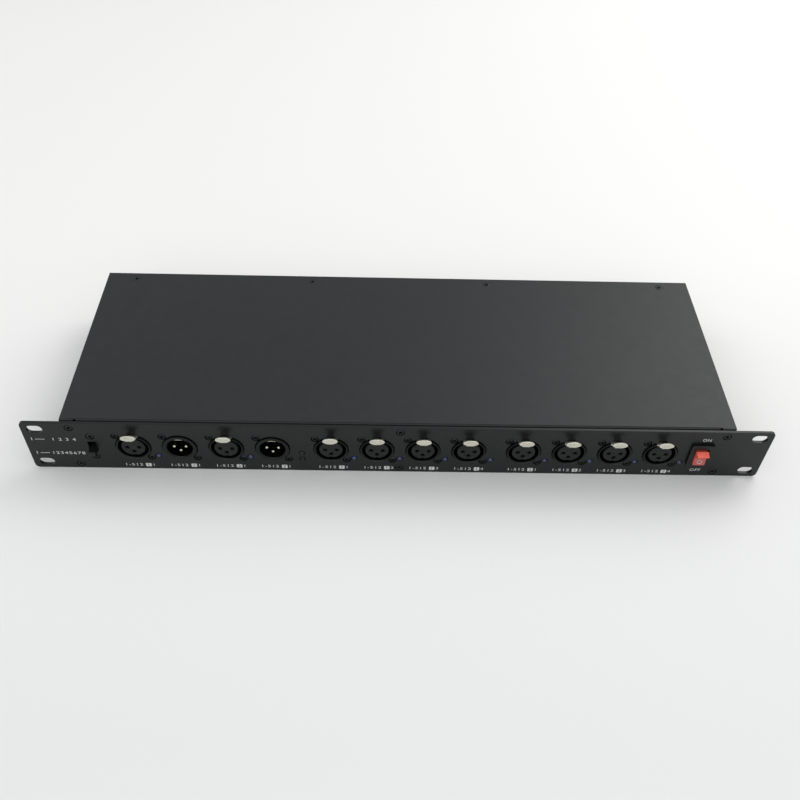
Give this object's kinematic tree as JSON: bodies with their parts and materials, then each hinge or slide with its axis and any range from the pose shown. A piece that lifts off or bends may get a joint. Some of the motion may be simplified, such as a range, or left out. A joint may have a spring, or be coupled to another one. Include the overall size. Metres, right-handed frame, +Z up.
{
  "type": "dmx splitter",
  "caption": "Rack-mount DMX splitter, one unit high: rows of latching chassis sockets with status lamps, a mode slide switch, a power rocker and a fused mains inlet.",
  "frame": {"origin": "centre of the chassis tray's bottom face", "axes": "+X along the front panel, to the right seen from the front; +Y from the front panel to the back; +Z up"},
  "size_m": [0.4826, 0.1617, 0.044],
  "materials": {
    "panel": "black powder coat, semi-gloss",
    "cover": "dark grey powder coat, satin",
    "shell": "dark grey cast metal, satin",
    "insert": "moulded black plastic",
    "nickel": "nickel plate",
    "plastic": "moulded black plastic",
    "rocker": "red moulded plastic",
    "screw": "black oxide",
    "board": "glass-fibre circuit board",
    "core": "laminated steel core with winding",
    "glass_tube": "clear glass with metal caps"
  },
  "bodies": {
    "chassis": {"front_panel": "panel", "chassis_tray": "cover", "top_cover": "cover", "main_board": "board", "power_supply_board": "board", "transformer": "core", "mode_switch_body": "shell", "power_switch_body": "plastic", "inlet_housing": "plastic", "inlet_pin_earth": "nickel", "inlet_pin_line": "nickel", "inlet_pin_neutral": "nickel", "panel_screw_top_left": "screw", "panel_screw_top_middle": "screw", "panel_screw_top_right": "screw", "panel_screw_bottom_left": "screw", "panel_screw_bottom_middle": "screw", "panel_screw_bottom_right": "screw", "lid_screw_1": "screw", "lid_screw_2": "screw", "lid_screw_3": "screw", "lid_screw_4": "screw", "socket_01_shell": "shell", "socket_01_insert": "insert", "socket_02_shell": "shell", "socket_02_insert": "insert", "socket_03_shell": "shell", "socket_03_insert": "insert", "socket_04_shell": "shell", "socket_04_insert": "insert", "socket_05_shell": "shell", "socket_05_insert": "insert", "socket_06_shell": "shell", "socket_06_insert": "insert", "socket_07_shell": "shell", "socket_07_insert": "insert", "socket_08_shell": "shell", "socket_08_insert": "insert", "socket_09_shell": "shell", "socket_09_insert": "insert", "socket_10_shell": "shell", "socket_10_insert": "insert", "socket_11_shell": "shell", "socket_11_insert": "insert", "socket_12_shell": "shell", "socket_12_insert": "insert"},
    "latch_01": {"socket_01_latch": "nickel"},
    "latch_03": {"socket_03_latch": "nickel"},
    "latch_05": {"socket_05_latch": "nickel"},
    "latch_06": {"socket_06_latch": "nickel"},
    "latch_07": {"socket_07_latch": "nickel"},
    "latch_08": {"socket_08_latch": "nickel"},
    "latch_09": {"socket_09_latch": "nickel"},
    "latch_10": {"socket_10_latch": "nickel"},
    "latch_11": {"socket_11_latch": "nickel"},
    "latch_12": {"socket_12_latch": "nickel"},
    "power_rocker": {"power_rocker": "rocker"},
    "mode_slider": {"mode_slider": "plastic"},
    "fuse_drawer": {"fuse_drawer": "plastic", "fuse": "glass_tube"}
  },
  "joints": [
    {"name": "latch_01_press", "type": "hinge", "parent": "chassis", "child": "latch_01", "pos_m": [-0.1729, -0.0732, 0.0314], "axis": [1, 0, 0], "range_deg": [0, 10], "stiffness_Nm_per_rad": 0.03, "springref_deg": -5.73},
    {"name": "latch_03_press", "type": "hinge", "parent": "chassis", "child": "latch_03", "pos_m": [-0.1129, -0.0732, 0.0314], "axis": [1, 0, 0], "range_deg": [0, 10], "stiffness_Nm_per_rad": 0.03, "springref_deg": -5.73},
    {"name": "latch_05_press", "type": "hinge", "parent": "chassis", "child": "latch_05", "pos_m": [-0.0449, -0.0732, 0.0314], "axis": [1, 0, 0], "range_deg": [0, 10], "stiffness_Nm_per_rad": 0.03, "springref_deg": -5.73},
    {"name": "latch_06_press", "type": "hinge", "parent": "chassis", "child": "latch_06", "pos_m": [-0.0149, -0.0732, 0.0314], "axis": [1, 0, 0], "range_deg": [0, 10], "stiffness_Nm_per_rad": 0.03, "springref_deg": -5.73},
    {"name": "latch_07_press", "type": "hinge", "parent": "chassis", "child": "latch_07", "pos_m": [0.0151, -0.0732, 0.0314], "axis": [1, 0, 0], "range_deg": [0, 10], "stiffness_Nm_per_rad": 0.03, "springref_deg": -5.73},
    {"name": "latch_08_press", "type": "hinge", "parent": "chassis", "child": "latch_08", "pos_m": [0.0451, -0.0732, 0.0314], "axis": [1, 0, 0], "range_deg": [0, 10], "stiffness_Nm_per_rad": 0.03, "springref_deg": -5.73},
    {"name": "latch_09_press", "type": "hinge", "parent": "chassis", "child": "latch_09", "pos_m": [0.0811, -0.0732, 0.0314], "axis": [1, 0, 0], "range_deg": [0, 10], "stiffness_Nm_per_rad": 0.03, "springref_deg": -5.73},
    {"name": "latch_10_press", "type": "hinge", "parent": "chassis", "child": "latch_10", "pos_m": [0.1111, -0.0732, 0.0314], "axis": [1, 0, 0], "range_deg": [0, 10], "stiffness_Nm_per_rad": 0.03, "springref_deg": -5.73},
    {"name": "latch_11_press", "type": "hinge", "parent": "chassis", "child": "latch_11", "pos_m": [0.1411, -0.0732, 0.0314], "axis": [1, 0, 0], "range_deg": [0, 10], "stiffness_Nm_per_rad": 0.03, "springref_deg": -5.73},
    {"name": "latch_12_press", "type": "hinge", "parent": "chassis", "child": "latch_12", "pos_m": [0.1711, -0.0732, 0.0314], "axis": [1, 0, 0], "range_deg": [0, 10], "stiffness_Nm_per_rad": 0.03, "springref_deg": -5.73},
    {"name": "power_rocker_tilt", "type": "hinge", "parent": "chassis", "child": "power_rocker", "pos_m": [0.1976, -0.0767, 0.022], "axis": [-1, 0, 0], "range_deg": [0, 30]},
    {"name": "mode_slide", "type": "slide", "parent": "chassis", "child": "mode_slider", "axis": [0, 0, 1], "range_m": [0, 0.0053]},
    {"name": "fuse_drawer_slide", "type": "slide", "parent": "chassis", "child": "fuse_drawer", "axis": [0, 1, 0], "range_m": [0, 0.012]}
  ]
}
